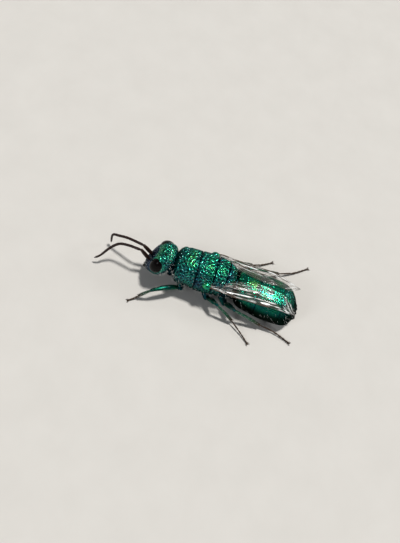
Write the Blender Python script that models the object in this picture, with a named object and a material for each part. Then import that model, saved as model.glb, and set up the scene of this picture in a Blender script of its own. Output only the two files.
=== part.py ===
"""Cuckoo wasp (family Chrysididae, a large Chrysis), life size, standing still on its six feet.

Frame: metres, +Z up, the head points to -Y and the animal's left side is +X. The origin lies on the
floor under the centre of the whole animal's box. All sizes below are in millimetres.

Each hard plate (sclerite) of the body is a loft through a few cross-sections, and each limb segment is a
tapered tube along a smooth curve. Neighbours are parted by a thin gap: where two shapes would run into
each other, one is cut by a slightly grown copy of the other.
"""

import math

import bmesh
import bpy
from mathutils import Matrix, Vector

MM = 0.001

# ---------------------------------------------------------------- driving dimensions (mm)
GAP = 0.03  # clearance between touching plates
CENTRE = Vector((-0.485, 4.324, 0.0))  # box centre on the floor, in the body's own coordinates

HEAD_CENTRE = Vector((0.09, 1.02, 2.04))
HEAD_HALF = Vector((1.35, 0.77, 1.45))  # half width, half depth and half height of the head capsule
HEAD_LEAN = math.radians(26)  # the crown leans back, so the mouth points a little forward
HEAD_TURN = math.radians(-8)  # the head looks slightly to its right
HEAD_CORNERS = (0.66, 0.72)  # powers of the plan: below 1 it is boxier than an ellipse
HEAD_PROFILE = 0.5  # power of the girth from mouth to crown
JAW_NARROWING = 0.26  # share of the width lost towards the mouth
JAW_START = 0.8  # the narrowing starts this share of the half height below the crown's side
FACE_HOLLOW = 0.16  # depth of the basin that takes the folded scapes
FACE_HOLLOW_REACH = (0.55, 0.62)  # its half width and half height
EYE_HALF = Vector((0.47, 0.54, 0.76))
EYE_AT = Vector((0.89, -0.14, 0.49))  # from the head's centre, in the head's own axes
EYE_LEAN = math.radians(16)  # an eye's upper end leans in over the crown
SOCKET_AT = Vector((0.26, -0.60, -0.66))  # where an antenna leaves the face
MANDIBLE_AT = Vector((0.40, -0.30, -1.20))
MANDIBLE_BEND = Vector((0.02, -0.04, -0.20))
MANDIBLE_REACH = Vector((-0.20, -0.12, -0.34))

# Thickness of each limb segment from root to tip.
MANDIBLE_THICK = (0.46, 0.42, 0.26)
SCAPE_THICK = (0.40, 0.48, 0.48)
FLAGELLUM_THICK = (0.40, 0.48, 0.48, 0.44)
COXA_THICK = (0.63, 0.70, 0.60)
FEMUR_THICK = (0.46, 0.60, 0.50)
TIBIA_THICK = (0.42, 0.54, 0.50)
TARSUS_THICK = (0.42, 0.50, 0.50)
LIMB_CAP = ((0.62, 0.78), (0.92, 0.38))  # rings of a rounded end: reach and girth as shares of the radius
WING_THICK = 0.50
WING_EDGE = 0.45  # thickness left along a wing's edges, as a share

# Cross-sections of each plate, front to back: (y, half width, floor z, z of greatest width, top z).
PLATES = {
    "pronotum": (
        (2.04, 1.12, 1.20, 2.05, 2.82),
        (2.36, 1.38, 1.00, 2.05, 3.17),
        (2.94, 1.44, 0.92, 2.00, 3.34),
        (3.84, 1.46, 0.86, 1.95, 3.40),
    ),
    "mesothorax": (
        (3.84, 1.47, 0.80, 1.95, 3.42),
        (4.50, 1.50, 0.76, 1.95, 3.46),
        (5.16, 1.47, 0.80, 1.95, 3.42),
    ),
    "scutellum": (
        (5.16, 1.46, 0.82, 1.95, 3.42),
        (5.70, 1.41, 0.86, 1.95, 3.41),
        (6.14, 1.33, 0.92, 1.95, 3.28),
    ),
    "propodeum": (
        (6.14, 1.32, 0.94, 1.92, 3.26),
        (6.50, 1.27, 0.98, 1.88, 3.06),
        (6.88, 1.08, 1.06, 1.75, 2.62),
    ),
    "tergite_1": (
        (6.94, 0.96, 0.92, 1.45, 2.44),
        (7.16, 1.28, 0.74, 1.40, 2.71),
        (7.64, 1.49, 0.60, 1.34, 2.90),
        (8.66, 1.62, 0.49, 1.30, 2.98),
    ),
    "tergite_2": (
        (8.66, 1.63, 0.48, 1.30, 2.99),
        (9.60, 1.68, 0.43, 1.26, 2.99),
        (10.56, 1.62, 0.42, 1.22, 2.86),
    ),
    "tergite_3": (
        (10.56, 1.61, 0.43, 1.22, 2.84),
        (11.16, 1.50, 0.46, 1.18, 2.48),
        (11.64, 1.20, 0.58, 1.12, 1.98),
        (11.98, 0.72, 0.78, 1.06, 1.44),
    ),
}
FULLNESS = 0.84  # power of a plate's section: below 1 it is fuller than an ellipse
SHARP_ANGLE = math.radians(50)  # edges sharper than this stay sharp in the shading
GASTER_START = 6.94
GASTER_SWAY = 0.055  # the gaster is held a little to the left: sideways shift per length behind its start
# How far each plate's front and rear rims sweep back at the sides, and how round those rims are.
RIM_SWEEP = {
    "pronotum": (0.20, 0.08),
    "mesothorax": (0.08, 0.06),
    "scutellum": (0.06, -0.06),
    "propodeum": (-0.06, -0.06),
    "tergite_1": (0.12, 0.05),
    "tergite_2": (0.05, 0.05),
    "tergite_3": (0.05, -0.16),
}
RIM_ROUND = {
    "pronotum": (0.18, 0.08),
    "mesothorax": (0.08, 0.08),
    "scutellum": (0.08, 0.12),
    "propodeum": (0.06, 0.22),
    "tergite_1": (0.16, 0.05),
    "tergite_2": (0.05, 0.06),
    "tergite_3": (0.06, 0.14),
}

# Joints of each leg, from the body outwards: coxa root, coxa tip, knee, ankle, instep, toe. The legs are
# caught in the middle of a walking step, so the two sides differ.
LEGS = {
    "front_left": (
        (0.50, 2.95, 1.15), (1.26, 3.06, 0.92), (2.48, 1.12, 1.32), (2.76, 0.34, 0.46),
        (2.98, 0.02, 0.22), (3.20, -0.29, 0.22),
    ),
    "middle_left": (
        (0.50, 4.75, 1.05), (1.26, 5.15, 0.74), (2.04, 6.05, 1.52), (2.32, 7.46, 0.48),
        (3.00, 8.42, 0.22), (3.53, 9.06, 0.22),
    ),
    "hind_left": (
        (0.50, 6.00, 1.10), (1.26, 6.55, 0.78), (2.06, 7.38, 1.60), (1.99, 9.58, 0.54),
        (2.04, 10.90, 0.28), (2.43, 12.12, 0.22),
    ),
    "front_right": (
        (-0.50, 2.95, 1.15), (-1.16, 2.96, 0.82), (-1.36, 1.02, 0.92), (-1.92, 2.16, 0.42),
        (-2.00, 2.70, 0.22), (-2.06, 3.24, 0.22),
    ),
    "middle_right": (
        (-0.50, 4.75, 1.05), (-1.26, 5.10, 0.74), (-2.00, 6.25, 1.45), (-2.95, 7.90, 0.48),
        (-3.40, 8.66, 0.22), (-3.99, 9.50, 0.22),
    ),
    "hind_right": (
        (-0.50, 6.00, 1.10), (-1.26, 6.55, 0.78), (-1.96, 7.90, 1.50), (-2.95, 10.15, 0.48),
        (-3.62, 11.36, 0.24), (-4.50, 12.45, 0.22),
    ),
}
FEMUR_ARCH = {"front_left": 0.22}  # how far a femur's middle rises above its straight line
PLAIN_ARCH = 0.10
LEG_PLATES = {  # the plates each coxa is set into
    "front": ("pronotum", "mesothorax"),
    "middle": ("mesothorax", "scutellum"),
    "hind": ("scutellum", "propodeum"),
}

# Each antenna's elbow and then the bends of its flagellum, out to the tip.
ANTENNAE = {
    "left": (
        (0.29, -0.50, 2.70), (0.24, -0.84, 2.64), (0.12, -1.56, 2.48), (0.10, -2.28, 2.20),
        (0.40, -2.88, 1.68), (0.82, -3.40, 1.02), (0.97, -3.82, 0.62),
    ),
    "right": (
        (-0.28, -0.46, 2.49), (-0.36, -0.90, 2.48), (-0.64, -1.81, 2.20), (-0.82, -2.50, 1.84),
        (-1.00, -3.08, 1.38), (-0.92, -3.13, 0.42),
    ),
}

# Plan of a wing on the left side, base to tip: (y, x of the outer edge, x of the inner edge, its height).
FOREWING = (
    (5.02, 1.68, 1.32, 2.86),
    (6.00, 1.68, 1.18, 2.92),
    (7.10, 1.70, 0.98, 2.96),
    (8.20, 1.68, 0.84, 3.02),
    (9.20, 1.63, 0.64, 3.08),
    (10.00, 1.56, 0.26, 3.14),
    (10.80, 1.45, 0.34, 2.86),
    (11.40, 1.32, 0.66, 2.52),
    (11.78, 1.24, 0.96, 2.30),
)
HINDWING = (
    (6.05, 1.10, 0.84, 3.08),
    (7.00, 0.96, 0.50, 3.17),
    (8.20, 0.84, 0.24, 3.22),
    (9.20, 0.64, 0.14, 3.24),
    (9.72, 0.38, 0.16, 3.20),
)
WING_SLOPE = -0.34  # height lost per width outwards: the wings lie over the gaster like a roof
TEGULA_AT = Vector((1.38, 4.84, 2.58))
TEGULA_HALF = Vector((0.26, 0.34, 0.26))
SCLERITES_UNDER_WINGS = ("mesothorax", "scutellum", "propodeum", "tergite_1", "tergite_2", "tergite_3")

# colour (linear RGB), roughness, metallic
FINISHES = {
    "green_cuticle": ((0.015, 0.180, 0.100), 0.30, 0.9),
    "blue_cuticle": ((0.012, 0.085, 0.090), 0.32, 0.9),
    "eye": ((0.012, 0.010, 0.008), 0.15, 0.0),
    "horn": ((0.030, 0.014, 0.008), 0.35, 0.0),
    "tarsus": ((0.050, 0.024, 0.012), 0.45, 0.0),
    "wing": ((0.160, 0.135, 0.110), 0.20, 0.0),
}


def finish(name):
    """The Principled material of that name, made once."""
    found = bpy.data.materials.get(name)
    if found:
        return found
    colour, roughness, metallic = FINISHES[name]
    made = bpy.data.materials.new(name)
    made.use_nodes = True
    shader = made.node_tree.nodes["Principled BSDF"]
    shader.inputs["Base Color"].default_value = (*colour, 1.0)
    shader.inputs["Roughness"].default_value = roughness
    shader.inputs["Metallic"].default_value = metallic
    return made


def clear_scene():
    for obj in list(bpy.data.objects):
        bpy.data.objects.remove(obj)


# ---------------------------------------------------------------- mesh helpers
def spline(rows, t):
    """Catmull-Rom value at t (0 to 1) through rows of equal length."""
    at = min(max(t, 0.0), 1.0) * (len(rows) - 1)
    i = min(int(at), len(rows) - 2)
    f = at - i
    before, a, b, after = (rows[min(max(k, 0), len(rows) - 1)] for k in (i - 1, i, i + 1, i + 2))
    return [
        0.5 * (2 * q + (r - p) * f + (2 * p - 5 * q + 4 * r - s) * f**2 + (3 * q - p - 3 * r + s) * f**3)
        for p, q, r, s in zip(before, a, b, after, strict=True)
    ]


def signed_power(value, power):
    return math.copysign(abs(value) ** power, value)


def closed_loft(name, rings, material, helper=False):
    """One closed object from rings of points (mm, body coordinates), each end closed by a fan."""
    mesh = bmesh.new()
    loops = [[mesh.verts.new((point - CENTRE) * MM) for point in ring] for ring in rings]
    count = len(loops[0])
    for ring, following in zip(loops, loops[1:], strict=False):
        for i in range(count):
            j = (i + 1) % count
            mesh.faces.new((ring[i], ring[j], following[j], following[i]))
    for ring in (loops[0], loops[-1]):
        middle = mesh.verts.new(sum((v.co for v in ring), Vector()) / count)
        for i in range(count):
            mesh.faces.new((ring[i], ring[(i + 1) % count], middle))
    bmesh.ops.recalc_face_normals(mesh, faces=mesh.faces)
    data = bpy.data.meshes.new(name)
    mesh.to_mesh(data)
    mesh.free()
    data.shade_smooth()
    data.set_sharp_from_angle(angle=SHARP_ANGLE)
    data.materials.append(finish(material))
    obj = bpy.data.objects.new(name, data)
    bpy.context.scene.collection.objects.link(obj)
    if helper:
        obj.hide_render = True
        obj.display_type = "WIRE"
    return obj


def cut(obj, *cutters):
    """Takes the cutters out of obj, with Boolean modifiers that stay on it."""
    for cutter in cutters:
        boolean = obj.modifiers.new("part from " + cutter.name, "BOOLEAN")
        boolean.operation = "DIFFERENCE"
        boolean.solver = "EXACT"
        boolean.object = cutter


# ---------------------------------------------------------------- plates
def section(half_width, low, widest, high, count):
    """Ring of (x, z): an ellipse above and below its widest height, a little fuller than round."""
    points = []
    for i in range(count):
        angle = 2 * math.pi * i / count
        rise = high - widest if math.sin(angle) > 0 else widest - low
        x = half_width * signed_power(math.cos(angle), FULLNESS)
        points.append((x, widest + rise * signed_power(math.sin(angle), FULLNESS)))
    return points


def rim_inset(distance, radius):
    """How far a rounded rim of this radius lies inside the plate's side, at a distance from its end."""
    if distance >= radius:
        return 0.0
    return radius - math.sqrt(radius**2 - (radius - distance) ** 2)


def plate_rings(name, grow=0.0, sides=20, lengths=7):
    """The rings of one plate. Half a gap is left at each end, and a grown copy is larger all round."""
    rows = PLATES[name]
    front_round, rear_round = RIM_ROUND[name]
    front_sweep, rear_sweep = RIM_SWEEP[name]
    total = rows[-1][0] - rows[0][0]
    rings = []
    for k in range(lengths + 1):
        share = 0.5 - 0.5 * math.cos(math.pi * k / lengths)  # closer together at the rims
        y, half_width, low, widest, high = spline(rows, share)
        y += (GAP / 2 - grow) * (1 - 2 * share)
        inset = rim_inset(share * total, front_round) + rim_inset((1 - share) * total, rear_round) - grow
        sweep = front_sweep * (1 - share) + rear_sweep * share
        sway = GASTER_SWAY * max(0.0, y - GASTER_START)
        rings.append(
            [
                Vector((x + sway, y + sweep * (x / half_width) ** 2, z))
                for x, z in section(half_width - inset, low + inset, widest, high - inset, sides)
            ]
        )
    return rings


def build_plates():
    """All the body plates, and for each a cutter that is larger by the gap."""
    cutters = {}
    for name in PLATES:
        closed_loft(name, plate_rings(name), "blue_cuticle" if name == "propodeum" else "green_cuticle")
        grown = plate_rings(name, grow=GAP)
        cutters[name] = closed_loft(name + "_clearance", grown, "green_cuticle", helper=True)
    return cutters


# ---------------------------------------------------------------- head
def head_axes():
    """From the head's own axes to the body's."""
    turn = Matrix.Rotation(HEAD_TURN, 4, "Z")
    return Matrix.Translation(HEAD_CENTRE) @ turn @ Matrix.Rotation(-HEAD_LEAN, 4, "X")


def bell(value, width):
    return math.exp(-((value / width) ** 2))


def head_rings(grow=0.0, sides=20, lengths=10):
    """Rings across the head from mouth to crown: boxy in plan, narrower below, hollow between the eyes."""
    place = head_axes()
    half = HEAD_HALF + Vector((grow, grow, grow))
    plan_x, plan_y = HEAD_CORNERS
    hollow_x, hollow_z = FACE_HOLLOW_REACH
    rings = []
    for k in range(1, lengths):
        polar = math.pi * k / lengths
        height = -half.z * math.cos(polar)
        girth = math.sin(polar) ** HEAD_PROFILE
        jaw = 1 - JAW_NARROWING * (1 - min(1.0, JAW_START + height / half.z))
        ring = []
        for i in range(sides):
            angle = 2 * math.pi * i / sides
            x = half.x * jaw * girth * signed_power(math.cos(angle), plan_x)
            y = half.y * girth * signed_power(math.sin(angle), plan_y)
            if y < 0:
                y += FACE_HOLLOW * bell(x, hollow_x) * bell(height, hollow_z)
            ring.append(place @ Vector((x, y, height)))
        rings.append(ring)
    return rings


def ellipsoid_rings(centre, half, place, grow=0.0, sides=14, lengths=7):
    rings = []
    for k in range(1, lengths):
        polar = math.pi * k / lengths
        ring = []
        for i in range(sides):
            angle = 2 * math.pi * i / sides
            spot = Vector(
                (
                    (half.x + grow) * math.sin(polar) * math.cos(angle),
                    (half.y + grow) * math.sin(polar) * math.sin(angle),
                    -(half.z + grow) * math.cos(polar),
                )
            )
            ring.append(place @ (centre + spot))
        rings.append(ring)
    return rings


def on_side(point, side):
    """The same point on the left (1) or the right (-1)."""
    return Vector((point[0] * side, point[1], point[2]))


def eye_axes(side):
    lean = Matrix.Rotation(-side * EYE_LEAN, 4, "Y")
    return head_axes() @ Matrix.Translation(on_side(EYE_AT, side)) @ lean


def build_head(collar_clearance):
    head = closed_loft("head", head_rings(), "green_cuticle")
    cut(head, collar_clearance)
    for side, word in ((1, "left"), (-1, "right")):
        closed_loft("eye_" + word, ellipsoid_rings(Vector(), EYE_HALF, eye_axes(side)), "eye")
        grown = ellipsoid_rings(Vector(), EYE_HALF, eye_axes(side), grow=GAP)
        cut(head, closed_loft("orbit_" + word, grown, "eye", helper=True))
    return closed_loft("head_clearance", head_rings(grow=GAP), "green_cuticle", helper=True)


# ---------------------------------------------------------------- limbs
def limb_rings(points, thickness, grow=0.0, sides=8, lengths=5):
    """Rings along a smooth curve through the points, with rounded ends.

    Thickness runs from root to tip. A grown copy is wider all round and longer at both ends.
    """
    stations = [k / lengths for k in range(lengths + 1)]
    route = [Vector(spline(points, t)) for t in stations]
    radii = [0.5 * spline([(width,) for width in thickness], t)[0] + grow for t in stations]
    first = (route[0] - route[1]).normalized()
    last = (route[-1] - route[-2]).normalized()
    for end, way in ((0, first), (1, last)):
        radius = radii[-1] if end else radii[0]
        reach = [route[-1 if end else 0] + way * radius * share for share, _ in LIMB_CAP]
        girth = [radius * share for _, share in LIMB_CAP]
        if end:
            route += reach
            radii += girth
        else:
            route = reach[::-1] + route
            radii = girth[::-1] + radii
    rings = []
    across = first.cross(Vector((0, 0, 1))).normalized()
    for k, spot in enumerate(route):
        ahead = (route[min(k + 1, len(route) - 1)] - route[max(k - 1, 0)]).normalized()
        across = (across - ahead * across.dot(ahead)).normalized()
        upward = across.cross(ahead)
        turns = [2 * math.pi * (i + 0.5) / sides for i in range(sides)]
        rings.append([spot + (across * math.cos(a) + upward * math.sin(a)) * radii[k] for a in turns])
    return rings


def limb(name, points, thickness, material, **shape):
    """A limb segment and the cutter that keeps the next segment off it."""
    grown = limb_rings(points, thickness, grow=GAP, **shape)
    segment = closed_loft(name, limb_rings(points, thickness, **shape), material)
    return segment, closed_loft(name + "_clearance", grown, material, helper=True)


def on_floor(rings):
    """Presses everything below the floor up to it, so that the foot stands on a small flat."""
    return [[Vector((p.x, p.y, max(p.z, 0.0))) for p in ring] for ring in rings]


def build_leg(name, body_cutters):
    root, hip, knee, ankle, instep, toe = (Vector(joint) for joint in LEGS[name])
    coxa, coxa_clearance = limb(
        "coxa_" + name, (root, (root + hip) / 2, hip), COXA_THICK, "blue_cuticle", lengths=3
    )
    cut(coxa, *body_cutters)
    arch = Vector((0, 0, FEMUR_ARCH.get(name, PLAIN_ARCH)))
    femur, femur_clearance = limb(
        "femur_" + name, (hip, (hip + knee) / 2 + arch, knee), FEMUR_THICK, "green_cuticle"
    )
    cut(femur, coxa_clearance, *body_cutters)
    tibia, tibia_clearance = limb(
        "tibia_" + name, (knee, (knee + ankle) / 2, ankle), TIBIA_THICK, "green_cuticle", lengths=4
    )
    cut(tibia, femur_clearance)
    foot = limb_rings((ankle, instep, toe), TARSUS_THICK)
    cut(closed_loft("tarsus_" + name, on_floor(foot), "tarsus"), tibia_clearance)


def build_antenna(side, word, head_clearance):
    socket = head_axes() @ on_side(SOCKET_AT, side)
    elbow, *bends = (Vector(point) for point in ANTENNAE[word])
    scape, scape_clearance = limb(
        "scape_" + word, (socket, (socket + elbow) / 2, elbow), SCAPE_THICK, "horn", lengths=3
    )
    cut(scape, head_clearance)
    flagellum = limb_rings((elbow, *bends), FLAGELLUM_THICK, lengths=11)
    cut(closed_loft("flagellum_" + word, flagellum, "horn"), scape_clearance, head_clearance)


def build_mandible(side, word, head_clearance):
    root, middle, tip = (
        head_axes() @ on_side(point, side)
        for point in (MANDIBLE_AT, MANDIBLE_AT + MANDIBLE_BEND, MANDIBLE_AT + MANDIBLE_REACH)
    )
    rings = limb_rings((root, middle, tip), MANDIBLE_THICK, lengths=3)
    cut(closed_loft("mandible_" + word, rings, "horn"), head_clearance)


# ---------------------------------------------------------------- wings
def wing_rings(rows, side, grow=0.0, lengths=9, across=4):
    """Rings of a sloped plate: out along its upper face and back along its lower one."""
    rings = []
    for k in range(lengths + 1):
        y, outer, inner, height = spline(rows, k / lengths)
        y += grow * (2 * k / lengths - 1)
        ring = []
        for face in (1, -1):
            for i in range(across + 1):
                share = i / across if face > 0 else 1 - i / across
                x = inner - grow + (outer - inner + 2 * grow) * share
                thin = WING_EDGE + (1 - WING_EDGE) * math.sqrt(1 - (2 * share - 1) ** 4)
                z = height + WING_SLOPE * (x - inner) + face * (0.5 * WING_THICK * thin + grow)
                ring.append(Vector((side * x, y, z)))
        rings.append(ring)
    return rings


def build_wings(side, word, body_cutters):
    place = Matrix()
    centre = on_side(TEGULA_AT, side)
    tegula_rings = ellipsoid_rings(centre, TEGULA_HALF, place, sides=10, lengths=6)
    tegula = closed_loft("tegula_" + word, tegula_rings, "green_cuticle")
    cut(tegula, *body_cutters[:1])
    grown = ellipsoid_rings(centre, TEGULA_HALF, place, grow=GAP, sides=10, lengths=6)
    tegula_clearance = closed_loft("tegula_clearance_" + word, grown, "green_cuticle", helper=True)

    forewing = closed_loft("forewing_" + word, wing_rings(FOREWING, side), "wing")
    cut(forewing, tegula_clearance, *body_cutters)
    grown = wing_rings(FOREWING, side, grow=GAP)
    forewing_clearance = closed_loft("forewing_clearance_" + word, grown, "wing", helper=True)
    hindwing = closed_loft("hindwing_" + word, wing_rings(HINDWING, side), "wing")
    cut(hindwing, forewing_clearance, *body_cutters)


def main():
    clear_scene()
    cutters = build_plates()
    head_clearance = build_head(cutters["pronotum"])
    for name in LEGS:
        plates = LEG_PLATES[name.split("_")[0]]
        build_leg(name, [cutters[plate] for plate in plates])
    for side, word in ((1, "left"), (-1, "right")):
        build_antenna(side, word, head_clearance)
        build_mandible(side, word, head_clearance)
        build_wings(side, word, [cutters[plate] for plate in SCLERITES_UNDER_WINGS])


main()
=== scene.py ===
"""Looks of the cuckoo wasp: pitted metallic plates, faceted eyes, segmented legs and antennae, veined wings.

All shapes are made in body coordinates, in millimetres: the head points to -Y, the animal's left is +X and
the floor is z = 0. ORIGIN, read from the frame, carries them into the frame, in metres.
"""

import math
from itertools import pairwise, product

import bmesh
import bpy
import numpy as np
from mathutils import Matrix, Vector, kdtree


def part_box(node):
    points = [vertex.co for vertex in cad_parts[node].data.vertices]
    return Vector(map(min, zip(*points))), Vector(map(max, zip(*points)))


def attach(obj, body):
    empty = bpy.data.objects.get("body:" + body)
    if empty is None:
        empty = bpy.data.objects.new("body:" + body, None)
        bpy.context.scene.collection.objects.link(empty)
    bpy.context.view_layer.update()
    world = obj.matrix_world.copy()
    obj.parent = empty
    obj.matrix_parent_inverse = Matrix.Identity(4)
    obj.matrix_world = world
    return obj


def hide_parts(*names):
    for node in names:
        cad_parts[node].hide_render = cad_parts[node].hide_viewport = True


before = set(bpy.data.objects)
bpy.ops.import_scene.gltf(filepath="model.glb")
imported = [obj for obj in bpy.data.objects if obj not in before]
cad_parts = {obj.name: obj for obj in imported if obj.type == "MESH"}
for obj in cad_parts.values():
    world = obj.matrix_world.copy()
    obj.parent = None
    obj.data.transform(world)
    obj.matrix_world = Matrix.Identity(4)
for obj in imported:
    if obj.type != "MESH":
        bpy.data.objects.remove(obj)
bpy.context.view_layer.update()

MM = 0.001
PRONOTUM_FRONT = 2.055  # where the collar starts, in body coordinates
_low, _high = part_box("pronotum")
ORIGIN = np.array(((_low.x + _high.x) / 2, _low.y - PRONOTUM_FRONT * MM, 0.0))
RNG = np.random.default_rng(11)

FINE = 0.025  # edge of a mesh cell on the plates
SIDES = (("left", 1), ("right", -1))


# -------- curves and profiles
def smooth(low, high, value):
    """0 below low, 1 above high and a soft step between them."""
    t = np.clip((value - low) / (high - low), 0.0, 1.0)
    return t * t * (3 - 2 * t)


def bell(value, width):
    """1 at 0, and falling off on both sides over that width."""
    return np.exp(-((value / width) ** 2))


def spline(rows, t):
    """Catmull-Rom values at t (0 to 1) through rows: one row of values for each t."""
    rows = np.atleast_2d(np.array(rows, float).T).T
    at = np.clip(np.asarray(t, float), 0.0, 1.0) * (len(rows) - 1)
    i = np.minimum(at.astype(int), len(rows) - 2)
    f = (at - i)[..., None]
    p, q, r, s = (rows[np.clip(i + k, 0, len(rows) - 1)] for k in (-1, 0, 1, 2))
    return 0.5 * (2 * q + (r - p) * f + (2 * p - 5 * q + 4 * r - s) * f**2 + (3 * q - p - 3 * r + s) * f**3)


def signed_power(value, power):
    return np.sign(value) * np.abs(value) ** power


def unit(vectors):
    return vectors / np.maximum(np.linalg.norm(vectors, axis=-1, keepdims=True), 1e-12)


# -------- from grids of points to pieces
def grid_normals(grid, outward_from):
    """Normals of a grid that is closed around its second axis, turned away from a centre for each row."""
    along = np.gradient(grid, axis=0)
    around = np.roll(grid, -1, axis=1) - np.roll(grid, 1, axis=1)
    normal = unit(np.cross(along, around))
    out = grid - outward_from
    flip = np.sign(np.sum(normal * out, axis=-1).mean())
    return normal * flip


def closed_faces(rows, cols, first):
    """Quads of a grid closed around, from vertex number first on, with a fan to a pole at each end."""
    i, j = np.meshgrid(np.arange(rows - 1), np.arange(cols), indexing="ij")
    a, b = first + i * cols + j, first + i * cols + (j + 1) % cols
    quads = np.stack((a, b, b + cols, a + cols), -1).reshape(-1, 4)
    pole = first + rows * cols
    last = pole - cols
    pairs = [(k, (k + 1) % cols) for k in range(cols)]
    fans = [(first + after, first + k, pole) for k, after in pairs]
    fans += [(last + k, last + after, pole + 1) for k, after in pairs]
    return quads.tolist() + fans


def with_poles(grid):
    """A grid's points or values in one row, followed by the means of its first and last rings."""
    return np.concatenate((grid.reshape(-1, *grid.shape[2:]), (grid[0].mean(0), grid[-1].mean(0))))


class Parts:
    """Vertices, faces and point values gathered for one piece. All its grids bring the same values."""

    def __init__(self):
        self.points, self.faces, self.values, self.count = [], [], {}, 0

    def add(self, points, faces, **values):
        self.points.append(points)
        self.faces += faces
        self.count += len(points)
        for key, given in values.items():
            self.values.setdefault(key, []).append(given)
        return self

    def add_closed(self, grid, **values):
        """A grid closed around, with a pole at each end. A value is one number, or one for each point."""
        full = {key: with_poles(np.broadcast_to(given, grid.shape[:2])) for key, given in values.items()}
        return self.add(with_poles(grid), closed_faces(*grid.shape[:2], self.count), **full)

    def build(self, name, material, slot, *nodes):
        """The piece as an object that rides on the root body and stands for those CAD nodes."""
        mesh = bpy.data.meshes.new(name)
        points = np.concatenate(self.points) * MM + ORIGIN
        mesh.from_pydata(points.tolist(), [], self.faces)
        for key, chunks in self.values.items():
            attribute = mesh.attributes.new(key, "FLOAT", "POINT")
            attribute.data.foreach_set("value", np.concatenate(chunks).astype(np.float32))
        mesh.validate()
        mesh.shade_smooth()
        mesh.materials.append(material)
        piece = bpy.data.objects.new(name, mesh)
        bpy.context.scene.collection.objects.link(piece)
        turn_outwards(mesh)
        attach(piece, "root")
        if nodes:
            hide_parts(*nodes)
        return piece


def turn_outwards(mesh):
    """Makes every closed shell of the mesh face outwards."""
    work = bmesh.new()
    work.from_mesh(mesh)
    bmesh.ops.recalc_face_normals(work, faces=work.faces)
    work.to_mesh(mesh)
    work.free()


# -------- pits of the cuticle
DARTS = 9  # tries for each square of the closest spacing


def scatter(points, spacing, area):
    """Indices of points no closer to each other than their own spacing (seeded, darts in random order)."""
    chosen, cells, size = [], {}, float(spacing.max())
    darts = int(DARTS * area / float(spacing.min()) ** 2)
    tries = RNG.choice(len(points), size=min(len(points) * 2, darts))
    keys = np.floor(points / size).astype(int).tolist()
    for i in dict.fromkeys(tries.tolist()):
        x, y, z = keys[i]
        around = product((x - 1, x, x + 1), (y - 1, y, y + 1), (z - 1, z, z + 1))
        offsets = (points[i] - points[k] for cell in around for k in cells.get(cell, ()))
        if all(d @ d >= spacing[i] ** 2 for d in offsets):
            cells.setdefault((x, y, z), []).append(i)
            chosen.append(i)
    return np.array(chosen, int)


def pit_field(grid, spacing, crowding):
    """0 on the ridges to 1 in the pits. crowding is 1 for a honeycomb and 0 for pits that lie apart."""
    points = grid.reshape(-1, 3)
    gaps = np.broadcast_to(spacing, grid.shape[:2]).ravel()
    along = np.linalg.norm(np.gradient(grid, axis=0), axis=-1)
    around = np.linalg.norm(np.roll(grid, -1, axis=1) - grid, axis=-1)
    chosen = scatter(points, gaps, float((along * around).sum()))
    tree = kdtree.KDTree(len(chosen))
    for k, i in enumerate(chosen.tolist()):
        tree.insert(points[i], k)
    tree.balance()
    first, second = np.empty(len(points)), np.empty(len(points))
    owner = np.empty(len(points), int)
    for i, p in enumerate(points.tolist()):
        found = tree.find_n(p, 2)
        owner[i], first[i], second[i] = found[0][1], found[0][2], found[-1][2]
    crowded = smooth(0.10, 0.78, (second - first) / gaps)
    apart = 1 - smooth(0.18, 0.44, first / gaps)
    strength = RNG.uniform(0.65, 1.0, len(chosen))[owner]
    return ((crowded * crowding + apart * (1 - crowding)) * strength).reshape(grid.shape[:2])


def pressed(grid, normal, depth, pits):
    """The grid with its pits pressed in."""
    return grid - normal * (depth * pits)[..., None]


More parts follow.
